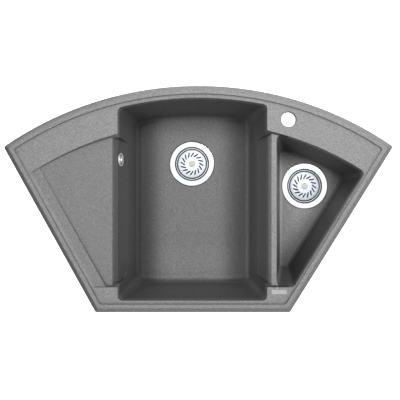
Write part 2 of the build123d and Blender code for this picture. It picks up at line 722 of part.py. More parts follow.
    with BuildPart() as basket_cup:
        foot_r = BASKET_R - BASKET_TAPER
        profile = (
            (BASKET_RIM_R, RIM_SURFACE),
            (BASKET_RIM_R, RIM_UNDER),
            (CHANNEL_R, RIM_UNDER),
            (CHANNEL_R, CHANNEL_FLOOR - SHEET),
            (BASKET_R, CHANNEL_FLOOR - SHEET),
            (foot_r, -BASKET_DEPTH - SHEET),
            (STEM_R + SEAT_GAP, -BASKET_DEPTH - SHEET),
            (STEM_R + SEAT_GAP, -BASKET_DEPTH),
            (foot_r - SHEET, -BASKET_DEPTH),
            (BASKET_R - SHEET, CHANNEL_FLOOR - SHEET),
            (BASKET_R - SHEET, COVER_SEAT),
            (BASKET_R, COVER_SEAT),
            (BASKET_R, CHANNEL_FLOOR),
            (CHANNEL_R - SHEET, CHANNEL_FLOOR),
            (CHANNEL_R - SHEET, RIM_SURFACE),
        )
        add(turned(waste, profile))
        with BuildSketch(waste.offset(-BASKET_DEPTH)):
            for ring_r, count in BASKET_RINGS:
                with PolarLocations(ring_r, count):
                    Circle(BASKET_HOLE_R)
        extrude(amount=-2 * SHEET, mode=Mode.SUBTRACT)
        slot_z = (CHANNEL_FLOOR - SHEET - BASKET_DEPTH) / 2
        for place in PolarLocations(BASKET_R, BASKET_SLOTS):
            with Locations(waste.offset(slot_z).location * place):
                Box(4 * BASKET_TAPER, BASKET_SLOT_W, BASKET_SLOT_H, mode=Mode.SUBTRACT)
    basket_cup.part.label = f"{bowl}_basket_cup"
    export_step(basket_cup.part, f"parts/{bowl}_basket_cup.step")

    with BuildPart() as basket_cover:
        seat = COVER_SEAT + SEAT_GAP
        section = Plane(waste.origin, x_dir=(1, 0, 0), z_dir=(0, -1, 0))
        with BuildSketch(section):
            with BuildLine():
                half_dome = 0.25 * COVER_DOME
                middle_r = COVER_R / 2
                hole_r = STEM_R + SEAT_GAP
                Line((COVER_R, seat), (COVER_R, seat + COVER_T))
                ThreePointArc(
                    (COVER_R, seat + COVER_T),
                    (middle_r, seat + COVER_T + COVER_DOME - half_dome),
                    (hole_r, seat + COVER_T + COVER_DOME),
                )
                Line((hole_r, seat + COVER_T + COVER_DOME), (hole_r, seat + COVER_DOME))
                ThreePointArc(
                    (hole_r, seat + COVER_DOME),
                    (middle_r, seat + COVER_DOME - half_dome),
                    (COVER_R, seat),
                )
            make_face()
        revolve(axis=Axis(waste.origin, waste.z_dir))
        fillet(round_edges(basket_cover, COVER_R, seat + COVER_T, waste), COVER_T / 2)
        with BuildSketch(waste):
            for index in range(COVER_SLOTS):
                turn = index * 360 / COVER_SLOTS
                inner = Vector(SLOT_IN_R, 0).rotate(Axis.Z, turn + SLOT_SWIRL / 2)
                outer = Vector(SLOT_OUT_R, 0).rotate(Axis.Z, turn - SLOT_SWIRL / 2)
                along = outer - inner
                with Locations((inner + outer) * 0.5):
                    heading = math.degrees(math.atan2(along.Y, along.X))
                    SlotCenterToCenter(along.length - SLOT_W, SLOT_W, rotation=heading)
        extrude(amount=-2 * LEDGE_H, mode=Mode.SUBTRACT)
    basket_cover.part.label = f"{bowl}_basket_cover"
    export_step(basket_cover.part, f"parts/{bowl}_basket_cover.step")

    with BuildPart() as basket_knob:
        with BuildSketch(waste.offset(KNOB_SEAT)):
            Circle(KNOB_R)
        extrude(amount=KNOB_H)
        fillet(round_edges(basket_knob, KNOB_R, KNOB_SEAT + KNOB_H, waste), KNOB_EDGE_R)
        with BuildSketch(waste.offset(KNOB_SEAT)):
            Circle(STEM_R + SEAT_GAP)
        extrude(amount=KNOB_H / 2, mode=Mode.SUBTRACT)
    basket_knob.part.label = f"{bowl}_basket_knob"
    export_step(basket_knob.part, f"parts/{bowl}_basket_knob.step")

    stem_top = KNOB_SEAT + KNOB_H / 2 - SEAT_GAP
    stem_foot = STOPPER_FOOT + HUB_RECESS_H
    with BuildPart() as basket_stem:
        with BuildSketch(waste.offset(stem_foot)):
            Circle(STEM_R)
        extrude(amount=stem_top - stem_foot)
    basket_stem.part.label = f"{bowl}_basket_stem"
    export_step(basket_stem.part, f"parts/{bowl}_basket_stem.step")

    with BuildPart() as basket_stopper:
        profile = (
            (HUB_RECESS_R, STOPPER_FOOT),
            (STOPPER_R, STOPPER_FOOT),
            (STOPPER_R, STOPPER_FOOT + STOPPER_LIP_H),
            (HUB_R, STOPPER_FOOT + STOPPER_LIP_H),
            (HUB_R, HUB_TOP),
            (STEM_R + SEAT_GAP, HUB_TOP),
            (STEM_R + SEAT_GAP, STOPPER_FOOT + HUB_RECESS_H),
            (HUB_RECESS_R, STOPPER_FOOT + HUB_RECESS_H),
        )
        add(turned(waste, profile))
    basket_stopper.part.label = f"{bowl}_basket_stopper"
    export_step(basket_stopper.part, f"parts/{bowl}_basket_stopper.step")

# ---- overflow; heights are measured inwards from the bowl's wall ----
rosette_openings = [
    CenterArc(
        (0, 0),
        ROSETTE_SLOT_R,
        index * 360 / ROSETTE_SLOTS - ROSETTE_SLOT_SPAN / 2,
        ROSETTE_SLOT_SPAN,
    )
    for index in range(ROSETTE_SLOTS)
]
with BuildPart() as overflow_rosette:
    with BuildSketch(OVERFLOW_PLANE.offset(SEAT_GAP)):
        Circle(ROSETTE_R)
    extrude(amount=ROSETTE_T)
    rim_height = SEAT_GAP + ROSETTE_T
    fillet(round_edges(overflow_rosette, ROSETTE_R, rim_height, OVERFLOW_PLANE), ROSETTE_EDGE_R)
    with BuildSketch(OVERFLOW_PLANE.offset(SEAT_GAP)):
        Circle(OVERFLOW_SCREW_R + SEAT_GAP)
        for opening in rosette_openings:
            SlotArc(opening, ROSETTE_SLOT_W)
    extrude(amount=ROSETTE_T, mode=Mode.SUBTRACT)
overflow_rosette.part.label = "overflow_rosette"
export_step(overflow_rosette.part, "parts/overflow_rosette.step")

HEAD_SEAT = ROSETTE_T + 2 * SEAT_GAP
with BuildPart() as overflow_screw:
    with BuildSketch(OVERFLOW_PLANE.offset(HEAD_SEAT)):
        Circle(OVERFLOW_HEAD_R)
    extrude(amount=OVERFLOW_HEAD_H)
    with BuildSketch(OVERFLOW_PLANE.offset(HEAD_SEAT)):
        Circle(OVERFLOW_SCREW_R)
    extrude(amount=ELBOW_BACK + 2 * ELBOW_WALL - HEAD_SEAT)
    with BuildSketch(OVERFLOW_PLANE.offset(HEAD_SEAT + OVERFLOW_HEAD_H)):
        Rectangle(3 * OVERFLOW_HEAD_R, DRIVE_SLOT_W)
    extrude(amount=-OVERFLOW_HEAD_H / 2, mode=Mode.SUBTRACT)
overflow_screw.part.label = "overflow_screw"
export_step(overflow_screw.part, "parts/overflow_screw.step")

gasket_plane = OVERFLOW_PLANE.offset(ELBOW_FACE + SEAT_GAP)
overflow_gasket = ring(gasket_plane, ELBOW_R, OVERFLOW_HOLE_R, GASKET_T - 2 * SEAT_GAP)
overflow_gasket.label = "overflow_gasket"
export_step(overflow_gasket, "parts/overflow_gasket.step")

TAIL_PLANE = Plane(ELBOW_CENTRE)
with BuildPart() as overflow_elbow:
    with BuildSketch(OVERFLOW_PLANE.offset(ELBOW_BACK)):
        Circle(ELBOW_R)
    extrude(amount=ELBOW_DEPTH)
    with BuildSketch(TAIL_PLANE.offset(-TAIL_DROP)):
        Circle(TAIL_SOCKET_R)
    extrude(amount=TAIL_DROP)
    with BuildSketch(OVERFLOW_PLANE.offset(ELBOW_BACK + ELBOW_WALL)):
        Circle(ELBOW_R - ELBOW_WALL)
    extrude(amount=ELBOW_DEPTH, mode=Mode.SUBTRACT)
    with BuildSketch(OVERFLOW_PLANE.offset(ELBOW_BACK + ELBOW_WALL)):
        Circle(ELBOW_BOSS_R)
    extrude(amount=ELBOW_DEPTH / 3)
    with BuildSketch(TAIL_PLANE.offset(-TAIL_DROP)):
        Circle(TAIL_R - TAIL_WALL)
    extrude(amount=TAIL_DROP - 2 * ELBOW_BOSS_R, mode=Mode.SUBTRACT)
    with BuildSketch(TAIL_PLANE.offset(-TAIL_DROP)):
        Circle(TAIL_R + GAP)
    extrude(amount=TAIL_SOCKET_L, mode=Mode.SUBTRACT)
    with BuildSketch(OVERFLOW_PLANE.offset(ELBOW_BACK + ELBOW_WALL)):
        Circle(OVERFLOW_SCREW_R + SEAT_GAP)
    extrude(amount=ELBOW_DEPTH, mode=Mode.SUBTRACT)
overflow_elbow.part.label = "overflow_elbow"
export_step(overflow_elbow.part, "parts/overflow_elbow.step")

# the overflow pipe drops from the elbow, turns and runs to the main waste's side inlet
tail_top = ELBOW_CENTRE - Vector(0, 0, TAIL_DROP - TAIL_SOCKET_L + GAP)
tail_corner = Vector(ELBOW_CENTRE.X, ELBOW_CENTRE.Y, TAIL_INLET.origin.Z)
tail_end = TAIL_INLET.offset(TAIL_MOUTH - TAIL_SOCKET_L + GAP).origin
overflow_pipe = tube(tail_top, tail_corner, tail_end, TAIL_BEND_R, TAIL_R, TAIL_R - TAIL_WALL)
overflow_pipe.label = "overflow_pipe"
export_step(overflow_pipe, "parts/overflow_pipe.step")

# ---- pipes from the two wastes to the trap ----
SOCKET_R = PIPE_R + GAP + SOCKET_WALL
PIPE_BORE_R = PIPE_R - PIPE_WALL
TEE = Plane((MAIN_WASTE_X, MAIN_WASTE_Y, RUN_Z))
to_small = Vector(SMALL_WASTE_X - MAIN_WASTE_X, SMALL_WASTE_Y - MAIN_WASTE_Y, 0)
RUN = Plane(origin=TEE.origin, x_dir=(0, 0, 1), z_dir=to_small)
TEE_TOP = TEE.offset(TEE_ARM)
TEE_FOOT = Plane(TEE.origin - Vector(0, 0, TEE_ARM), z_dir=(0, 0, -1))
TEE_SIDE = RUN.offset(TEE_ARM)

with BuildPart() as waste_tee:
    with BuildSketch(TEE_FOOT):
        Circle(SOCKET_R)
    extrude(amount=-2 * TEE_ARM)
    with BuildSketch(RUN):
        Circle(SOCKET_R)
    extrude(amount=TEE_ARM)
    with BuildSketch(TEE_FOOT):
        Circle(PIPE_BORE_R)
    extrude(amount=-2 * TEE_ARM, mode=Mode.SUBTRACT)
    with BuildSketch(RUN):
        Circle(PIPE_BORE_R)
    extrude(amount=TEE_ARM, mode=Mode.SUBTRACT)
    for mouth in (TEE_TOP, TEE_FOOT, TEE_SIDE):
        with BuildSketch(mouth):
            Circle(PIPE_R + GAP)
        extrude(amount=-SOCKET_DEPTH, mode=Mode.SUBTRACT)
waste_tee.part.label = "waste_tee"
export_step(waste_tee.part, "parts/waste_tee.step")

branch_corner = TEE.origin + to_small
ELBOW_TOP = Plane(branch_corner + Vector(0, 0, BEND_ARM))
ELBOW_SIDE = Plane(origin=branch_corner, x_dir=(0, 0, 1), z_dir=-to_small).offset(BEND_ARM)
with BuildPart() as branch_elbow:
    mouths = (ELBOW_TOP, ELBOW_SIDE)
    add(
        tube(
            ELBOW_TOP.origin,
            branch_corner,
            ELBOW_SIDE.origin,
            BEND_R,
            SOCKET_R,
            PIPE_BORE_R,
        )
    )
    for mouth in mouths:
        with BuildSketch(mouth):
            Circle(PIPE_R + GAP)
        extrude(amount=-SOCKET_DEPTH, mode=Mode.SUBTRACT)
branch_elbow.part.label = "branch_elbow"
export_step(branch_elbow.part, "parts/branch_elbow.step")

branch_from = RUN.offset(TEE_ARM - SOCKET_DEPTH + GAP)
branch_length = to_small.length - TEE_ARM - BEND_ARM + 2 * (SOCKET_DEPTH - GAP)
branch_pipe = ring(branch_from, PIPE_R, PIPE_BORE_R, branch_length)
branch_pipe.label = "branch_pipe"
export_step(branch_pipe, "parts/branch_pipe.step")

# ---- trap ----
COLLAR_TOP = TEE_FOOT.offset(TRAP_COLLAR_GAP).origin.Z
TRAP_TOP = COLLAR_TOP - TRAP_COLLAR_H
TRAP_FOOT = TRAP_TOP - TRAP_H
CUP_FOOT = TRAP_FOOT - TRAP_CUP_H
AT_TRAP = Plane((MAIN_WASTE_X, MAIN_WASTE_Y, 0))
dip_foot = CUP_FOOT + TRAP_WALL + TUBE_FOOT
dip_top = TEE_FOOT.origin.Z + SOCKET_DEPTH - GAP
trap_dip_tube = ring(AT_TRAP.offset(dip_foot), PIPE_R, PIPE_BORE_R, dip_top - dip_foot)
trap_dip_tube.label = "trap_dip_tube"
export_step(trap_dip_tube, "parts/trap_dip_tube.step")

OUTLET = Plane(
    origin=(MAIN_WASTE_X, MAIN_WASTE_Y, TRAP_TOP - OUTLET_DROP), x_dir=(1, 0, 0), z_dir=(0, 1, 0)
)
OUTLET_MOUTH = OUTLET.offset(OUTLET_ARM)
with BuildPart() as trap_body:
    outside = (
        (0, COLLAR_TOP),
        (SOCKET_R, COLLAR_TOP),
        (SOCKET_R, TRAP_TOP),
        (TRAP_R, TRAP_TOP),
        (TRAP_R, TRAP_FOOT),
        (0, TRAP_FOOT),
    )
    add(turned(AT_TRAP, outside))
    with BuildSketch(OUTLET):
        Circle(SOCKET_R)
    extrude(amount=OUTLET_ARM)
    inside = (
        (0, COLLAR_TOP + GAP),
        (PIPE_R + GAP, COLLAR_TOP + GAP),
        (PIPE_R + GAP, TRAP_TOP - TRAP_WALL),
        (TRAP_R - TRAP_WALL, TRAP_TOP - TRAP_WALL),
        (TRAP_R - TRAP_WALL, TRAP_FOOT - GAP),
        (0, TRAP_FOOT - GAP),
    )
    add(turned(AT_TRAP, inside), mode=Mode.SUBTRACT)
    with BuildSketch(OUTLET.offset(TRAP_R / 2)):
        Circle(PIPE_BORE_R)
    extrude(amount=OUTLET_ARM, mode=Mode.SUBTRACT)
    with BuildSketch(OUTLET_MOUTH):
        Circle(PIPE_R + GAP)
    extrude(amount=-SOCKET_DEPTH, mode=Mode.SUBTRACT)
trap_body.part.label = "trap_body"
export_step(trap_body.part, "parts/trap_body.step")

ledge_z = TRAP_FOOT - SEAL_T - 2 * SEAT_GAP
with BuildPart() as trap_cup:
    with BuildSketch(AT_TRAP.offset(CUP_FOOT)):
        Circle(TRAP_R + GAP + TRAP_WALL)
        with PolarLocations(TRAP_R + GAP + TRAP_WALL, TRAP_RIBS):
            Circle(NUT_RIB_R)
    extrude(amount=TRAP_FOOT + TRAP_CUP_LAP - CUP_FOOT)
    with BuildSketch(AT_TRAP.offset(ledge_z)):
        Circle(TRAP_R + GAP)
    extrude(amount=TRAP_H, mode=Mode.SUBTRACT)
    with BuildSketch(AT_TRAP.offset(CUP_FOOT + TRAP_WALL)):
        Circle(TRAP_R - TRAP_WALL)
    extrude(amount=TRAP_H, mode=Mode.SUBTRACT)
trap_cup.part.label = "trap_cup"
export_step(trap_cup.part, "parts/trap_cup.step")

trap_cup_seal = ring(
    AT_TRAP.offset(TRAP_FOOT - SEAT_GAP - SEAL_T), TRAP_R, TRAP_R - TRAP_WALL, SEAL_T
)
trap_cup_seal.label = "trap_cup_seal"
export_step(trap_cup_seal, "parts/trap_cup_seal.step")

bead = SEAL_T + 2 * SEAT_GAP + NUT_LIP + 2 * GAP
bead_rise = OUTLET_BEAD_R - PIPE_R
outlet_profile = (
    (PIPE_BORE_R, GAP - SOCKET_DEPTH),
    (PIPE_R, GAP - SOCKET_DEPTH),
    (PIPE_R, bead),
    (OUTLET_BEAD_R, bead + bead_rise),
    (OUTLET_BEAD_R, bead + OUTLET_BEAD_W - bead_rise),
    (PIPE_R, bead + OUTLET_BEAD_W),
    (PIPE_R, bead + OUTLET_BEAD_W + OUTLET_BARE_L),
    (PIPE_BORE_R, bead + OUTLET_BEAD_W + OUTLET_BARE_L),
)
outlet_pipe = turned(OUTLET_MOUTH, outlet_profile)
outlet_pipe.label = "outlet_pipe"
export_step(outlet_pipe, "parts/outlet_pipe.step")

# ---- union nuts and their seals; each plane is a socket's mouth with z pointing out of it ----
COLLAR_MOUTH = AT_TRAP.offset(COLLAR_TOP)
UNIONS = (TEE_TOP, TEE_FOOT, TEE_SIDE, ELBOW_TOP, ELBOW_SIDE, COLLAR_MOUTH, OUTLET_MOUTH)
TAIL_UNIONS = (
    Plane(ELBOW_CENTRE - Vector(0, 0, TAIL_DROP), z_dir=(0, 0, -1)),
    TAIL_INLET.offset(TAIL_MOUTH),
)


def union_nut(mouth, nut_r, nut_h, lip, socket_r, pipe_r):
    """Ribbed nut that screws over a socket and presses a seal against its mouth."""
    end = SEAL_T + 2 * SEAT_GAP + lip
    with BuildPart() as shape:
        with BuildSketch(mouth.offset(end)):
            Circle(nut_r)
            with PolarLocations(nut_r, NUT_RIBS):
                Circle(NUT_RIB_R)
        extrude(amount=-nut_h)
        with BuildSketch(mouth.offset(end)):
            Circle(pipe_r + GAP)
        extrude(amount=-nut_h, mode=Mode.SUBTRACT)
        with BuildSketch(mouth.offset(end - lip)):
            Circle(socket_r + GAP)
        extrude(amount=-nut_h, mode=Mode.SUBTRACT)
    return shape.part


def export_group(name, solids):
    group = Compound(children=solids)
    group.label = name
    export_step(group, f"parts/{name}.step")


export_group(
    "union_nuts", [union_nut(u, NUT_R, NUT_H, NUT_LIP, SOCKET_R, PIPE_R) for u in UNIONS]
)
export_group(
    "union_seals", [ring(u.offset(SEAT_GAP), SOCKET_R, PIPE_R + SEAT_GAP, SEAL_T) for u in UNIONS]
)
export_group(
    "overflow_nuts",
    [
        union_nut(u, TAIL_NUT_R, TAIL_NUT_H, TAIL_NUT_LIP, TAIL_SOCKET_R, TAIL_R)
        for u in TAIL_UNIONS
    ],
)
export_group(
    "overflow_seals",
    [ring(u.offset(SEAT_GAP), TAIL_SOCKET_R, TAIL_R + SEAT_GAP, SEAL_T) for u in TAIL_UNIONS],
)

# ---- rim clips; on each clip's plane x points outwards and z down ----
UNDER_WORKTOP = WORKTOP_T + SLAB_UNDER
ARM_SEAT = UNDER_WORKTOP + ARM_TOOTH + ARM_T + SEAT_GAP


def clip_screw(place):
    with BuildPart() as shape:
        with BuildSketch(place.offset(GAP - INSERT_H)):
            Circle(CLIP_SCREW_R)
        extrude(amount=INSERT_H - GAP + ARM_SEAT)
        with BuildSketch(place.offset(ARM_SEAT)):
            Circle(CLIP_HEAD_R)
        extrude(amount=CLIP_HEAD_H)
        with BuildSketch(place.offset(ARM_SEAT + CLIP_HEAD_H)):
            Rectangle(3 * CLIP_HEAD_R, DRIVE_SLOT_W)
        extrude(amount=-DRIVE_SLOT_H, mode=Mode.SUBTRACT)
    return shape.part


def clip_arm(place):
    """Bent strip with a leg on the sink's underside and a tooth under the worktop."""
    strip_z = ARM_SEAT - SEAT_GAP - ARM_T / 2
    with BuildPart() as shape:
        with BuildSketch(Plane(place.origin, x_dir=place.x_dir, z_dir=-place.y_dir)):
            with BuildLine():
                FilletPolyline(
                    (-ARM_IN, SEAT_GAP),
                    (-ARM_IN, strip_z),
                    (ARM_OUT - ARM_T / 2, strip_z),
                    (ARM_OUT - ARM_T / 2, UNDER_WORKTOP),
                    radius=ARM_BEND_R,
                )
            trace(line_width=ARM_T)
        extrude(amount=ARM_W / 2, both=True)
        with BuildSketch(place.offset(ARM_SEAT)):
            Circle(CLIP_SCREW_R + GAP)
        extrude(amount=-2 * ARM_T, mode=Mode.SUBTRACT)
    return shape.part


export_group(
    "rim_clip_inserts",
    [
        ring(p.offset(SEAT_GAP - INSERT_H), INSERT_R, CLIP_SCREW_R + SEAT_GAP, INSERT_H - SEAT_GAP)
        for p in CLIP_PLACES
    ],
)
export_group("rim_clip_screws", [clip_screw(p) for p in CLIP_PLACES])
export_group("rim_clip_arms", [clip_arm(p) for p in CLIP_PLACES])
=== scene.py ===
import math

import bmesh
import bpy
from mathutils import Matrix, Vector


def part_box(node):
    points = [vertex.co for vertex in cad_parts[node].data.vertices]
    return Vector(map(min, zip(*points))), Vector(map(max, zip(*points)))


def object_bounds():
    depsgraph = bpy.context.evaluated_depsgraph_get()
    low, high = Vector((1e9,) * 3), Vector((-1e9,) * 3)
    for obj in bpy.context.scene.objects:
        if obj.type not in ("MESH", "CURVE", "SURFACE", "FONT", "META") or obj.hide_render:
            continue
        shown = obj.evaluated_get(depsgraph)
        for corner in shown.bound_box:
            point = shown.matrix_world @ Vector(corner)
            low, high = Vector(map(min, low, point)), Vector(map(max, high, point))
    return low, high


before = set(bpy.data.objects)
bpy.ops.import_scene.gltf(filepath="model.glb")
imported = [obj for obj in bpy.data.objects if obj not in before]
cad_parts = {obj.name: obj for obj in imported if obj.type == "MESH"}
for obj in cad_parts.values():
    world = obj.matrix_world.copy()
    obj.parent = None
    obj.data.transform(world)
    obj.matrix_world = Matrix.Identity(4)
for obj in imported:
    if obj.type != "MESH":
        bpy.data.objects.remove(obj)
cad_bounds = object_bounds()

# ---- places in the CAD model, in metres ----
FLOOR_Z = cad_bounds[0][2] - 0.001
DECK_Z = 0.0075
CENTRE = (0.0, 0.25, 0.0)


def middle(node):
    low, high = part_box(node)
    return (low + high) / 2


MAIN_WASTE = middle("main_waste_flange")
SMALL_WASTE = middle("small_waste_flange")


# ---- camera: straight down on the sink, as in the photograph ----
CAMERA_X, CAMERA_Y, CAMERA_ABOVE_DECK = 0.0179, 0.253, 2.035

camera_data = bpy.data.cameras.new("photo_camera")
camera_data.sensor_width = 36.0
camera_data.lens = 78.35
camera_data.clip_end = 30.0
camera = bpy.data.objects.new("photo_camera", camera_data)
camera.location = (CAMERA_X, CAMERA_Y, DECK_Z + CAMERA_ABOVE_DECK)
bpy.context.scene.collection.objects.link(camera)
bpy.context.scene.camera = camera


# ---- shader arithmetic ----
class Wire:
    """An output of a shader node that can be used in sums, products and comparisons."""

    def __init__(self, tree, socket=None):
        self.tree = tree
        self.socket = socket

    def node(self, kind, settings=None, inputs=None, output=0):
        """Adds a node of a kind, sets it up, fills or links its sockets and gives one output."""
        added = self.tree.nodes.new(kind)
        for name, value in (settings or {}).items():
            if name == "stops":
                fill_ramp(added.color_ramp, value)
            else:
                setattr(added, name, value)
        for name, value in (inputs or {}).items():
            if isinstance(value, Wire):
                self.tree.links.new(value.socket, added.inputs[name])
            else:
                added.inputs[name].default_value = value
        return Wire(self.tree, added.outputs[output] if added.outputs else None)

    def maths(self, operation, *terms):
        return self.node("ShaderNodeMath", {"operation": operation}, dict(enumerate(terms)))

    def __add__(self, other):
        return self.maths("ADD", self, other)

    __radd__ = __add__

    def __mul__(self, other):
        return self.maths("MULTIPLY", self, other)

    __rmul__ = __mul__

    def __sub__(self, other):
        return self.maths("SUBTRACT", self, other)

    def __rsub__(self, other):
        return self.maths("SUBTRACT", other, self)

    def __truediv__(self, other):
        return self.maths("DIVIDE", self, other)

    def __gt__(self, other):
        return self.maths("GREATER_THAN", self, other)

    def __lt__(self, other):
        return self.maths("LESS_THAN", self, other)

    def clear(self, low, high):
        """0 below low, 1 above high and even in between."""
        return self.node(
            "ShaderNodeMapRange",
            {"clamp": True},
            {"Value": self, "From Min": low, "From Max": high},
        )

    def between(self, low, high):
        """1 between two limits and 0 outside them."""
        return (self > low) * (self < high)

    def ramp(self, stops):
        return self.node("ShaderNodeValToRGB", {"stops": stops}, {0: self})


def fill_ramp(ramp, stops):
    """Gives a colour ramp its stops, each a place and a grey."""
    while len(ramp.elements) < len(stops):
        ramp.elements.new(1.0)
    for element, (place, grey) in zip(ramp.elements, stops):
        element.position = place
        element.color = (grey, grey, grey, 1.0)


def split(wire, vector):
    """The x, y and z of a vector."""
    return [
        wire.node("ShaderNodeSeparateXYZ", None, {0: vector}, output=axis) for axis in range(3)
    ]


def facing(wire):
    """The direction that the surface faces."""
    return wire.node("ShaderNodeNewGeometry", output=1)


def reach(wire, x, y, centre):
    """Distance from the upright line through a centre."""
    across, along = x - centre[0], y - centre[1]
    return wire.maths("SQRT", across * across + along * along)


def openness(wire, distance, samples):
    """1 in the open, and less the deeper a point lies in a fold or hollow of its own piece."""
    return wire.node(
        "ShaderNodeAmbientOcclusion",
        {"samples": samples, "only_local": True},
        {"Distance": distance},
        output=1,
    )


def rounded(wire, radius, samples):
    """The direction that the surface would face if its edges were rounded."""
    return wire.node("ShaderNodeBevel", {"samples": samples}, {"Radius": radius})


def tint(wire, share, first, second):
    """Colour between two colours."""
    colours = [
        colour if isinstance(colour, Wire) else (*colour, 1.0) for colour in (first, second)
    ]
    return wire.node(
        "ShaderNodeMix",
        {"data_type": "RGBA"},
        {0: share, 6: colours[0], 7: colours[1]},
        output=2,
    )


def noise(wire, place, scale, detail):
    return wire.node(
        "ShaderNodeTexNoise",
        None,
        {"Vector": place, "Scale": scale, "Detail": detail, "Roughness": 0.5},
    )


def cells(wire, place, scale):
    """One random number from 0 to 1 for each small cell of space."""
    colour = wire.node(
        "ShaderNodeTexVoronoi", None, {"Vector": place, "Scale": scale}, output=1
    )
    return wire.node("ShaderNodeSeparateColor", None, {0: colour})


def bumps(wire, height, distance, strength, normal=None):
    inputs = {"Height": height, "Distance": distance, "Strength": strength}
    if normal:
        inputs["Normal"] = normal
    return wire.node("ShaderNodeBump", None, inputs)


def darker(level, share, amount):
    """The level, lowered by an amount where share is 1; a negative amount raises it."""
    return level * (1.0 - share * amount)


def make_material(name, recipe, fixed):
    """Material whose recipe gives what varies over the surface; fixed has its other sockets."""
    made = bpy.data.materials.new(name)
    made.use_nodes = True
    tree = made.node_tree
    tree.nodes.clear()
    start = Wire(tree)
    place = start.node("ShaderNodeTexCoord", output=3)
    shader = start.node("ShaderNodeBsdfPrincipled", None, {**fixed, **recipe(start, place)})
    start.node("ShaderNodeOutputMaterial", None, {"Surface": shader})
    return made


# ---- stone of the sink's body; places are in metres ----
STONE_GREY = 0.262
LIGHTEST = 2.0  # the stone's level can't go past this
BLACK = (0.0, 0.0, 0.0)
STONE_EDGE_R = 0.0012
FINE_GRAINS, COARSE_GRAINS = 1100.0, 430.0  # in a metre
CREASE_REACH, HOLLOW_REACH = 0.006, 0.09

BOWL_EDGE = 0.018  # depth below the worktop at which a bowl has its full painted shade
DRAINER_Z, DRAINER_FALL, DRAINER_END_X = 0.0068, 0.002, -0.18
TAP_HOLE, TAP_HOLE_REACH = (0.225, 0.4415), 0.01844

FRONT_SLOPE_Y, BACK_SLOPE_Y = 0.06, 0.25
LIP_FRONT_Y, LIP_FOLD_X, LIP_FOLD_LENGTH = 0.11, -0.14, 0.02
LIP_FOLD_TOP, LIP_FOLD_FOOT = (0.03, 0.05), -0.15

DIVIDER_X = 0.191
DIVIDER_END_X, DIVIDER_END_Y = (0.16, 0.225), (0.03, 0.42)
DIVIDER_LEFT_X, DIVIDER_LEFT_FOOT = (0.1745, 0.1845), -0.04
DIVIDER_RIGHT_X, DIVIDER_RIGHT_FOOT = (0.1965, 0.2015), -0.02
DIVIDER_Y = (0.045, 0.4)

WALL_TOP, WALL_FOOT = 0.02, 0.19  # depths
MAIN_FLOOR_TOP, SMALL_FLOOR_TOP = -0.16, -0.1
MAIN_MIDDLE_X, MAIN_HALF_W = -0.003, 0.15
MAIN_FLOOR_FRONT, MAIN_FLOOR_FRONT_LENGTH = 0.14, 0.06
MAIN_FRONT_FOOT, MAIN_FRONT_FOOT_LENGTH = 0.056, 0.01
SMALL_WALL_FACING = (0.849, 0.528)  # the small bowl's right wall leans out along x and -y
SMALL_FLOOR_LEFT, SMALL_FLOOR_W = 0.1, 0.06
ARC_CENTRE, ARC_SHADE_REACH = (0.0147, -0.2813), (0.64, 0.7)

# painted shade from the middle of a floor to its side: share of the way, and the light that is
# left there
MAIN_FLOOR_SHADE = (
    (0.3, 1.0),
    (0.43, 0.97),
    (0.5, 0.9),
    (0.567, 0.78),
    (0.653, 0.56),
    (0.733, 0.41),
    (0.827, 0.31),
    (0.905, 0.36),
    (0.935, 0.85),
)
SMALL_FLOOR_SHADE = ((0.12, 1.0), (0.4, 0.8), (0.57, 0.62), (0.75, 0.42), (0.95, 0.3))


class Spot:
    """Where a point of the stone lies, which way it faces and what part of the sink it is on."""

    def __init__(self, wire, place):
        self.wire = wire
        self.x, self.y, self.z = split(wire, place)
        self.right, self.back, self.up = split(wire, facing(wire))
        self.left = self.right * -1.0
        self.down = self.z * -1.0
        self.bowl = self.down.clear(0.0, BOWL_EDGE)
        self.small = self.x > DIVIDER_X
        self.slope = (1.0 - self.up.clear(0.8, 0.97)) * (1.0 - self.bowl)
        self.floor = self.up.clear(0.3, 0.8)


def shade_bowls(level, spot):
    """Painted shade: the bowls are painted darker than the deck, most of all on the walls."""
    bowl_paint_shade = 0.5 + spot.small * 0.14 - spot.up * (0.25 + spot.small * 0.8)
    level = darker(level, spot.bowl, bowl_paint_shade)
    # painted light and shade by the way a wall faces: lighter on the small bowl's right-facing
    # wall, darker on walls facing back, right in the main bowl or left in the small one
    level = darker(level, spot.bowl * spot.small, spot.right.clear(0.2, 0.8) * -1.5)
    level = darker(level, spot.bowl * spot.back.clear(0.45, 0.9), 0.32)
    level = darker(level, spot.bowl * spot.right.clear(0.3, 0.8) * (1.0 - spot.small), 0.14)
    level = darker(level, spot.bowl * spot.small * spot.left.clear(0.3, 0.8), 0.42)
    # painted light: the walls are painted lighter again towards their foot
    foot = spot.down.clear(WALL_TOP, WALL_FOOT)
    return darker(level, (1.0 - spot.floor) * spot.bowl, 0.2 - foot * 0.45)


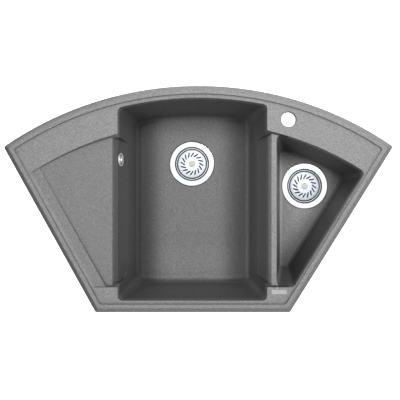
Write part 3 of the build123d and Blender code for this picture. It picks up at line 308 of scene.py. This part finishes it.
def shade_slopes(level, spot):
    """Painted shade: the slopes of the rim and the lips are painted darker than the flat deck,
    more or less by the way they face.
    """
    leftwards = spot.left.clear(0.1, 0.6) * (spot.x < 0.0)
    backwards = (spot.y < FRONT_SLOPE_Y) * 0.35 - (spot.y > BACK_SLOPE_Y) * 0.2
    amount = 0.2 + leftwards * 0.36 + spot.back.clear(0.2, 0.5) * backwards
    level = darker(level, spot.slope, amount)
    # painted shade in the fold below the front end of the drainer's lip
    fold = (spot.x < LIP_FOLD_X) * (LIP_FRONT_Y - spot.y).clear(0.0, LIP_FOLD_LENGTH)
    fold = fold * spot.down.clear(*LIP_FOLD_TOP) * (spot.z > LIP_FOLD_FOOT)
    level = darker(level, fold * spot.up.clear(0.15, 0.4), 0.35)
    # the drainer's recess is painted a little darker than the deck, and the tap hole's wall is
    # painted nearly black as shade
    drainer = (DRAINER_Z - spot.z).clear(0.0, DRAINER_FALL) * (spot.x < DRAINER_END_X)
    level = darker(level, drainer, 0.21)
    in_hole = reach(spot.wire, spot.x, spot.y, TAP_HOLE) < TAP_HOLE_REACH
    return darker(level, in_hole, 0.9)


def shade_divider(level, spot):
    """Painted shade and light: the divider's short ends are painted dark as shadow, and its long
    edges are painted about as light as its top.
    """
    ends = spot.x.between(*DIVIDER_END_X) * spot.y.between(*DIVIDER_END_Y)
    lengthwise = spot.wire.maths("ABSOLUTE", spot.back).clear(0.25, 0.5)
    level = darker(level, spot.slope * ends * lengthwise, 0.6)
    left_edge = spot.x.between(*DIVIDER_LEFT_X) * (spot.z > DIVIDER_LEFT_FOOT)
    right_edge = spot.x.between(*DIVIDER_RIGHT_X) * (spot.z > DIVIDER_RIGHT_FOOT)
    edges = left_edge * -0.25 - right_edge * 0.4
    return darker(level, spot.y.between(*DIVIDER_Y), edges)


def shade_floors(level, spot):
    """Painted shade: both floors are painted darker towards the walls that lean over them."""
    sideways = spot.wire.maths("ABSOLUTE", spot.x - MAIN_MIDDLE_X) / MAIN_HALF_W
    front = (MAIN_FLOOR_FRONT - spot.y).clear(0.0, MAIN_FLOOR_FRONT_LENGTH) * 0.22
    front_foot = (MAIN_FRONT_FOOT - spot.y).clear(0.0, MAIN_FRONT_FOOT_LENGTH) * 0.55
    painted_light = sideways.ramp(MAIN_FLOOR_SHADE) * (1.0 + (front - front_foot))
    level = darker(level, spot.floor * (spot.z < MAIN_FLOOR_TOP), 1.0 - painted_light)
    to_wall = spot.x * SMALL_WALL_FACING[0] - spot.y * SMALL_WALL_FACING[1] - SMALL_FLOOR_LEFT
    painted_light = (to_wall / SMALL_FLOOR_W).ramp(SMALL_FLOOR_SHADE)
    to_arc = reach(spot.wire, spot.x, spot.y, ARC_CENTRE)
    painted_light = darker(painted_light, to_arc.clear(*ARC_SHADE_REACH), 0.5)
    return darker(level, spot.floor * (spot.z < SMALL_FLOOR_TOP) * spot.small, 1.0 - painted_light)


def stone(wire, place):
    """Granite composite: grey resin filled with darker and lighter grains of quartz, with painted
    shade and light on its bowls, slopes, divider and floors and in its creases and hollows.
    """
    fine = cells(wire, place, FINE_GRAINS)
    grain = cells(wire, place, COARSE_GRAINS)
    cloud = noise(wire, place, 9.0, 3.0)
    dark = (fine < 0.14) * 0.22 + (grain < 0.04) * 0.16
    light = (fine > 0.91) * 0.28 + (grain > 0.97) * 0.2
    level = 1.0 + (cloud - 0.5) * 0.06 + (fine - 0.5) * 0.12 + (grain - 0.5) * 0.2 - dark + light
    spot = Spot(wire, place)
    for shade in (shade_bowls, shade_slopes, shade_divider, shade_floors):
        level = shade(level, spot)
    # painted shade in the stone's creases and hollows
    crease = openness(wire, CREASE_REACH, 6)
    hollow = openness(wire, HOLLOW_REACH, 10)
    level = level * (0.3 + crease * 0.7) * (0.3 + hollow * 0.7)
    pits = noise(wire, place, 1300.0, 2.0)
    swell = noise(wire, place, 160.0, 2.0)
    height = pits * 0.6 + swell * 0.4 + fine * 0.35
    edge = rounded(wire, STONE_EDGE_R, 4)
    return {
        "Base Color": tint(wire, level / LIGHTEST, BLACK, (LIGHTEST * STONE_GREY,) * 3),
        "Roughness": 0.62 + (fine - 0.5) * 0.16,
        "Normal": bumps(wire, height, 0.00012, 0.7, edge),
    }


# ---- steel of the basket wastes; radii are from the waste's middle, in metres ----
OUTER_GROOVE, INNER_GROOVE, RIDGE = (0.0402, 0.0438), (0.0358, 0.0389), (0.0389, 0.0402)
COVER_EDGE = (0.027, 0.034)
CUP_INSIDE_R = 0.0374
ALL_OVER = 1.0  # a radius that takes in the whole piece
STEEL_HUE = (0.80, 0.81, 0.82)
COVER_HUE = (0.78, 0.81, 0.85)
# colour of the painted shade in the cover's slots and in the cups
NAVY = (0.008, 0.022, 0.05)


def turned(
    centre, ring_pitch, sheen, kept, kept_within, hue=STEEL_HUE, shade=BLACK, slot_edge=0.0
):
    """Stainless steel with fine rings from the lathe round a centre.

    Inside kept_within it is painted down to that share of its light as painted shade, and
    slot_edge is how far a painted shade reaches from its slots.
    """

    def recipe(wire, place):
        x, y, _ = split(wire, place)
        radius = reach(wire, x, y, centre)
        rings = wire.maths("SINE", radius * (2 * math.pi / ring_pitch))
        smear = noise(wire, place, 55.0, 4.0)
        wear = noise(wire, place, 700.0, 2.0)
        # painted shade in the grooves and on the ridge round the basket
        grooves = radius.between(*OUTER_GROOVE) + radius.between(*INNER_GROOVE)
        level = darker(0.85 + smear * 0.15, grooves, 0.96)
        level = darker(level, radius.between(*RIDGE), 0.45)
        # painted shade round the slots, and the cover painted darker towards its edge
        if slot_edge:
            even = wire.node(
                "ShaderNodeVectorMath",
                {"operation": "DOT_PRODUCT"},
                {0: rounded(wire, slot_edge, 8), 1: facing(wire)},
                output=1,
            )
            level = level * (0.05 + even.clear(0.9, 0.995) * 0.95)
            level = darker(level, radius.clear(*COVER_EDGE), 0.2)
        # painted shade: inside kept_within only the kept share of the light is left
        level = darker(level, radius < kept_within, 1.0 - kept)
        return {
            "Base Color": tint(wire, level, shade, hue),
            "Roughness": sheen + smear * 0.06 + wear * 0.04 + grooves * 0.2,
            "Normal": bumps(wire, rings * 0.5 + wear * 0.5, 0.000005, 0.6),
        }

    return recipe


# ---- the other finishes ----
def brushed(wire, place):
    """Steel plate brushed along its length."""
    stretched = wire.node(
        "ShaderNodeMapping", None, {"Vector": place, "Scale": (60.0, 3200.0, 900.0)}
    )
    streaks = noise(wire, stretched, 1.0, 3.0)
    return {
        "Base Color": tint(wire, streaks, (0.34, 0.34, 0.35), (0.56, 0.56, 0.57)),
        "Roughness": 0.26 + streaks * 0.16,
        "Normal": bumps(wire, streaks, 0.00002, 0.5),
    }


def chrome(wire, place):
    haze = noise(wire, place, 240.0, 4.0)
    drops = noise(wire, place, 1400.0, 1.0)
    return {
        "Base Color": tint(wire, haze, (0.90, 0.91, 0.92), (0.97, 0.97, 0.98)),
        "Roughness": 0.5 + haze * 0.12,
        "Normal": bumps(wire, drops, 0.00001, 0.3),
    }


def zinc(wire, place):
    """Bright zinc plating with faint yellow spangle."""
    spangle = cells(wire, place, 650.0)
    smear = noise(wire, place, 120.0, 3.0)
    share = spangle * 0.6 + smear * 0.4
    return {
        "Base Color": tint(wire, share, (0.60, 0.60, 0.57), (0.76, 0.76, 0.74)),
        "Roughness": 0.28 + smear * 0.2,
        "Normal": bumps(wire, smear + spangle * 0.4, 0.00003, 0.5),
    }


def brass(wire, place):
    tarnish = noise(wire, place, 300.0, 4.0)
    return {
        "Base Color": tint(wire, tarnish, (0.62, 0.44, 0.18), (0.83, 0.64, 0.30)),
        "Roughness": 0.22 + tarnish * 0.25,
        "Normal": bumps(wire, tarnish, 0.00003, 0.5),
    }


def rubber(wire, place):
    bowl_paint_shade = noise(wire, place, 900.0, 3.0)
    dust = noise(wire, place, 40.0, 4.0)
    return {
        "Base Color": tint(wire, dust, (0.018, 0.018, 0.019), (0.042, 0.042, 0.043)),
        "Roughness": 0.62 + bowl_paint_shade * 0.2,
        "Normal": bumps(wire, bowl_paint_shade, 0.00008, 0.5),
    }


def white_plastic(wire, place):
    """Moulded polypropylene with a faint eroded grain, with painted shade inside the pipes."""
    grain = noise(wire, place, 1500.0, 2.0)
    flow = noise(wire, place, 14.0, 4.0)
    outside = tint(wire, flow, (0.56, 0.565, 0.56), (0.66, 0.66, 0.65))
    painted_light = openness(wire, 0.03, 8).clear(0.15, 0.6)
    return {
        "Base Color": tint(wire, painted_light, (0.03, 0.03, 0.03), outside),
        "Roughness": 0.34 + flow * 0.1 + grain * 0.06,
        "Normal": bumps(wire, grain * 0.6 + flow * 0.4, 0.00005, 0.5),
    }


def knob_plastic(wire, place):
    grain = noise(wire, place, 2200.0, 2.0)
    wear = noise(wire, place, 260.0, 3.0)
    return {
        "Base Color": tint(wire, wear, (0.59, 0.56, 0.52), (0.69, 0.66, 0.62)),
        "Roughness": 0.36 + grain * 0.14,
        "Normal": bumps(wire, grain, 0.00004, 0.5),
    }


# ---- each piece and its finish ----
METAL = {"Metallic": 1.0}
STONE = make_material("stone_composite", stone, {"IOR": 1.4})
BADGE = make_material("badge_brushed_steel", brushed, METAL)
CHROME = make_material("rosette_chrome", chrome, METAL)
ZINC = make_material("clip_zinc", zinc, METAL)
BRASS = make_material("insert_brass", brass, METAL)
RUBBER = make_material("seal_rubber", rubber, {"IOR": 1.5})
PLASTIC = make_material("pipe_plastic", white_plastic, {"IOR": 1.49})
KNOB = make_material("knob_plastic", knob_plastic, {"IOR": 1.5})


def finish(material, *nodes):
    for node in nodes:
        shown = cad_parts[node]
        shown.data.materials.clear()
        shown.data.materials.append(material)


finish(STONE, "sink_body")
finish(BADGE, "badge_plate")
finish(CHROME, "overflow_rosette", "overflow_screw")
finish(PLASTIC, "overflow_elbow", "overflow_pipe", "overflow_nuts", "outlet_pipe")
finish(PLASTIC, "waste_tee", "branch_elbow", "branch_pipe", "union_nuts")
finish(PLASTIC, "trap_dip_tube", "trap_body", "trap_cup")
finish(RUBBER, "overflow_gasket", "overflow_seals", "union_seals", "trap_cup_seal")
finish(BRASS, "rim_clip_inserts")
finish(ZINC, "rim_clip_screws", "rim_clip_arms")

for bowl, centre in (("main", MAIN_WASTE), ("small", SMALL_WASTE)):
    polished = turned(centre, ring_pitch=0.00035, sheen=0.06, kept=0.8, kept_within=ALL_OVER)
    satin = turned(
        centre,
        ring_pitch=0.0005,
        sheen=0.5,
        kept=0.72,
        kept_within=ALL_OVER,
        hue=COVER_HUE,
        shade=NAVY,
        slot_edge=0.0019,
    )
    # painted shade: the basket cup is painted nearly black within CUP_INSIDE_R, which takes in its
    # outside too
    cup_paint_shade = turned(
        centre, ring_pitch=0.0006, sheen=0.4, kept=0.03, kept_within=CUP_INSIDE_R, shade=NAVY
    )
    steel = make_material(f"{bowl}_waste_steel", polished, METAL)
    cover = make_material(f"{bowl}_cover_steel", satin, METAL)
    cup = make_material(f"{bowl}_cup_steel", cup_paint_shade, METAL)
    finish(steel, f"{bowl}_waste_flange", f"{bowl}_clamp_screw", f"{bowl}_basket_stem")
    finish(cover, f"{bowl}_basket_cover")
    finish(cup, f"{bowl}_basket_cup")
    finish(KNOB, f"{bowl}_basket_knob")
    finish(PLASTIC, f"{bowl}_waste_housing")
    finish(RUBBER, f"{bowl}_top_gasket", f"{bowl}_under_gasket", f"{bowl}_basket_stopper")


# ---- floor ----
def floor_paint(wire, place):
    cloud = noise(wire, place, 3.0, 2.0)
    return {
        "Base Color": tint(wire, cloud, (0.90, 0.90, 0.90), (0.94, 0.94, 0.94)),
        "Roughness": 0.8 + cloud * 0.1,
    }


WHITE = (1.0, 1.0, 1.0, 1.0)
GLOW = {"Emission Color": WHITE, "Emission Strength": 1.0}
FLOOR_HALF_W = 6.0

floor_mesh = bpy.data.meshes.new("floor")
sheet = bmesh.new()
bmesh.ops.create_grid(sheet, x_segments=1, y_segments=1, size=FLOOR_HALF_W)
bmesh.ops.translate(sheet, verts=sheet.verts, vec=(CENTRE[0], CENTRE[1], FLOOR_Z))
sheet.to_mesh(floor_mesh)
sheet.free()
floor_mesh.materials.append(make_material("floor_paint", floor_paint, GLOW))
floor = bpy.data.objects.new("floor", floor_mesh)
bpy.context.scene.collection.objects.link(floor)


# ---- lights: place, target, width, height and watts ----
def softbox(name, place, target, width, height, power):
    """Area light that faces a point."""
    light = bpy.data.lights.new(name, "AREA")
    light.shape = "RECTANGLE"
    light.size = width
    light.size_y = height
    light.energy = power
    lamp = bpy.data.objects.new(name, light)
    lamp.location = place
    lamp.rotation_euler = (Vector(target) - Vector(place)).to_track_quat("-Z", "Y").to_euler()
    bpy.context.scene.collection.objects.link(lamp)


softbox("back_right_softbox", (0.45, 0.75, 1.45), (0.3, 0.4, 0.0), 0.5, 0.5, 10.0)
softbox("back_softbox", (0.2, 0.85, 1.5), (0.15, 0.45, 0.0), 0.6, 0.5, 10.0)
softbox("left_softbox", (-1.3, -0.1, 3.0), CENTRE, 1.2, 1.2, 31.0)
# the flanges of both wastes mirror this one
softbox("overhead_card", (0.35, 0.42, 3.3), (0.35, 0.42, 0.0), 1.4, 1.1, 6.0)
softbox("right_side_softbox", (2.6, 0.35, 0.75), CENTRE, 1.6, 1.0, 10.0)
softbox("front_side_softbox", (0.0, -2.6, 0.7), CENTRE, 2.4, 0.9, 9.0)
softbox("back_side_softbox", (0.0, 3.1, 0.7), CENTRE, 2.4, 0.9, 10.0)

# white to the camera, grey in mirrors and nearly dark as a light
SEEN_SKY, MIRRORED_SKY, LIGHTING_SKY = 1.0, 0.45, 0.08
world = bpy.data.worlds.new("studio")
bpy.context.scene.world = world
world.use_nodes = True
world.node_tree.nodes.clear()
sky = Wire(world.node_tree)
seen = sky.node("ShaderNodeLightPath", output=0)
mirrored = sky.node("ShaderNodeLightPath", output=3)
strength = seen * (SEEN_SKY - LIGHTING_SKY) + mirrored * (MIRRORED_SKY - LIGHTING_SKY)
backdrop = sky.node(
    "ShaderNodeBackground", None, {"Color": WHITE, "Strength": LIGHTING_SKY + strength}
)
sky.node("ShaderNodeOutputWorld", None, {"Surface": backdrop})
bpy.context.scene.view_settings.view_transform = "Standard"
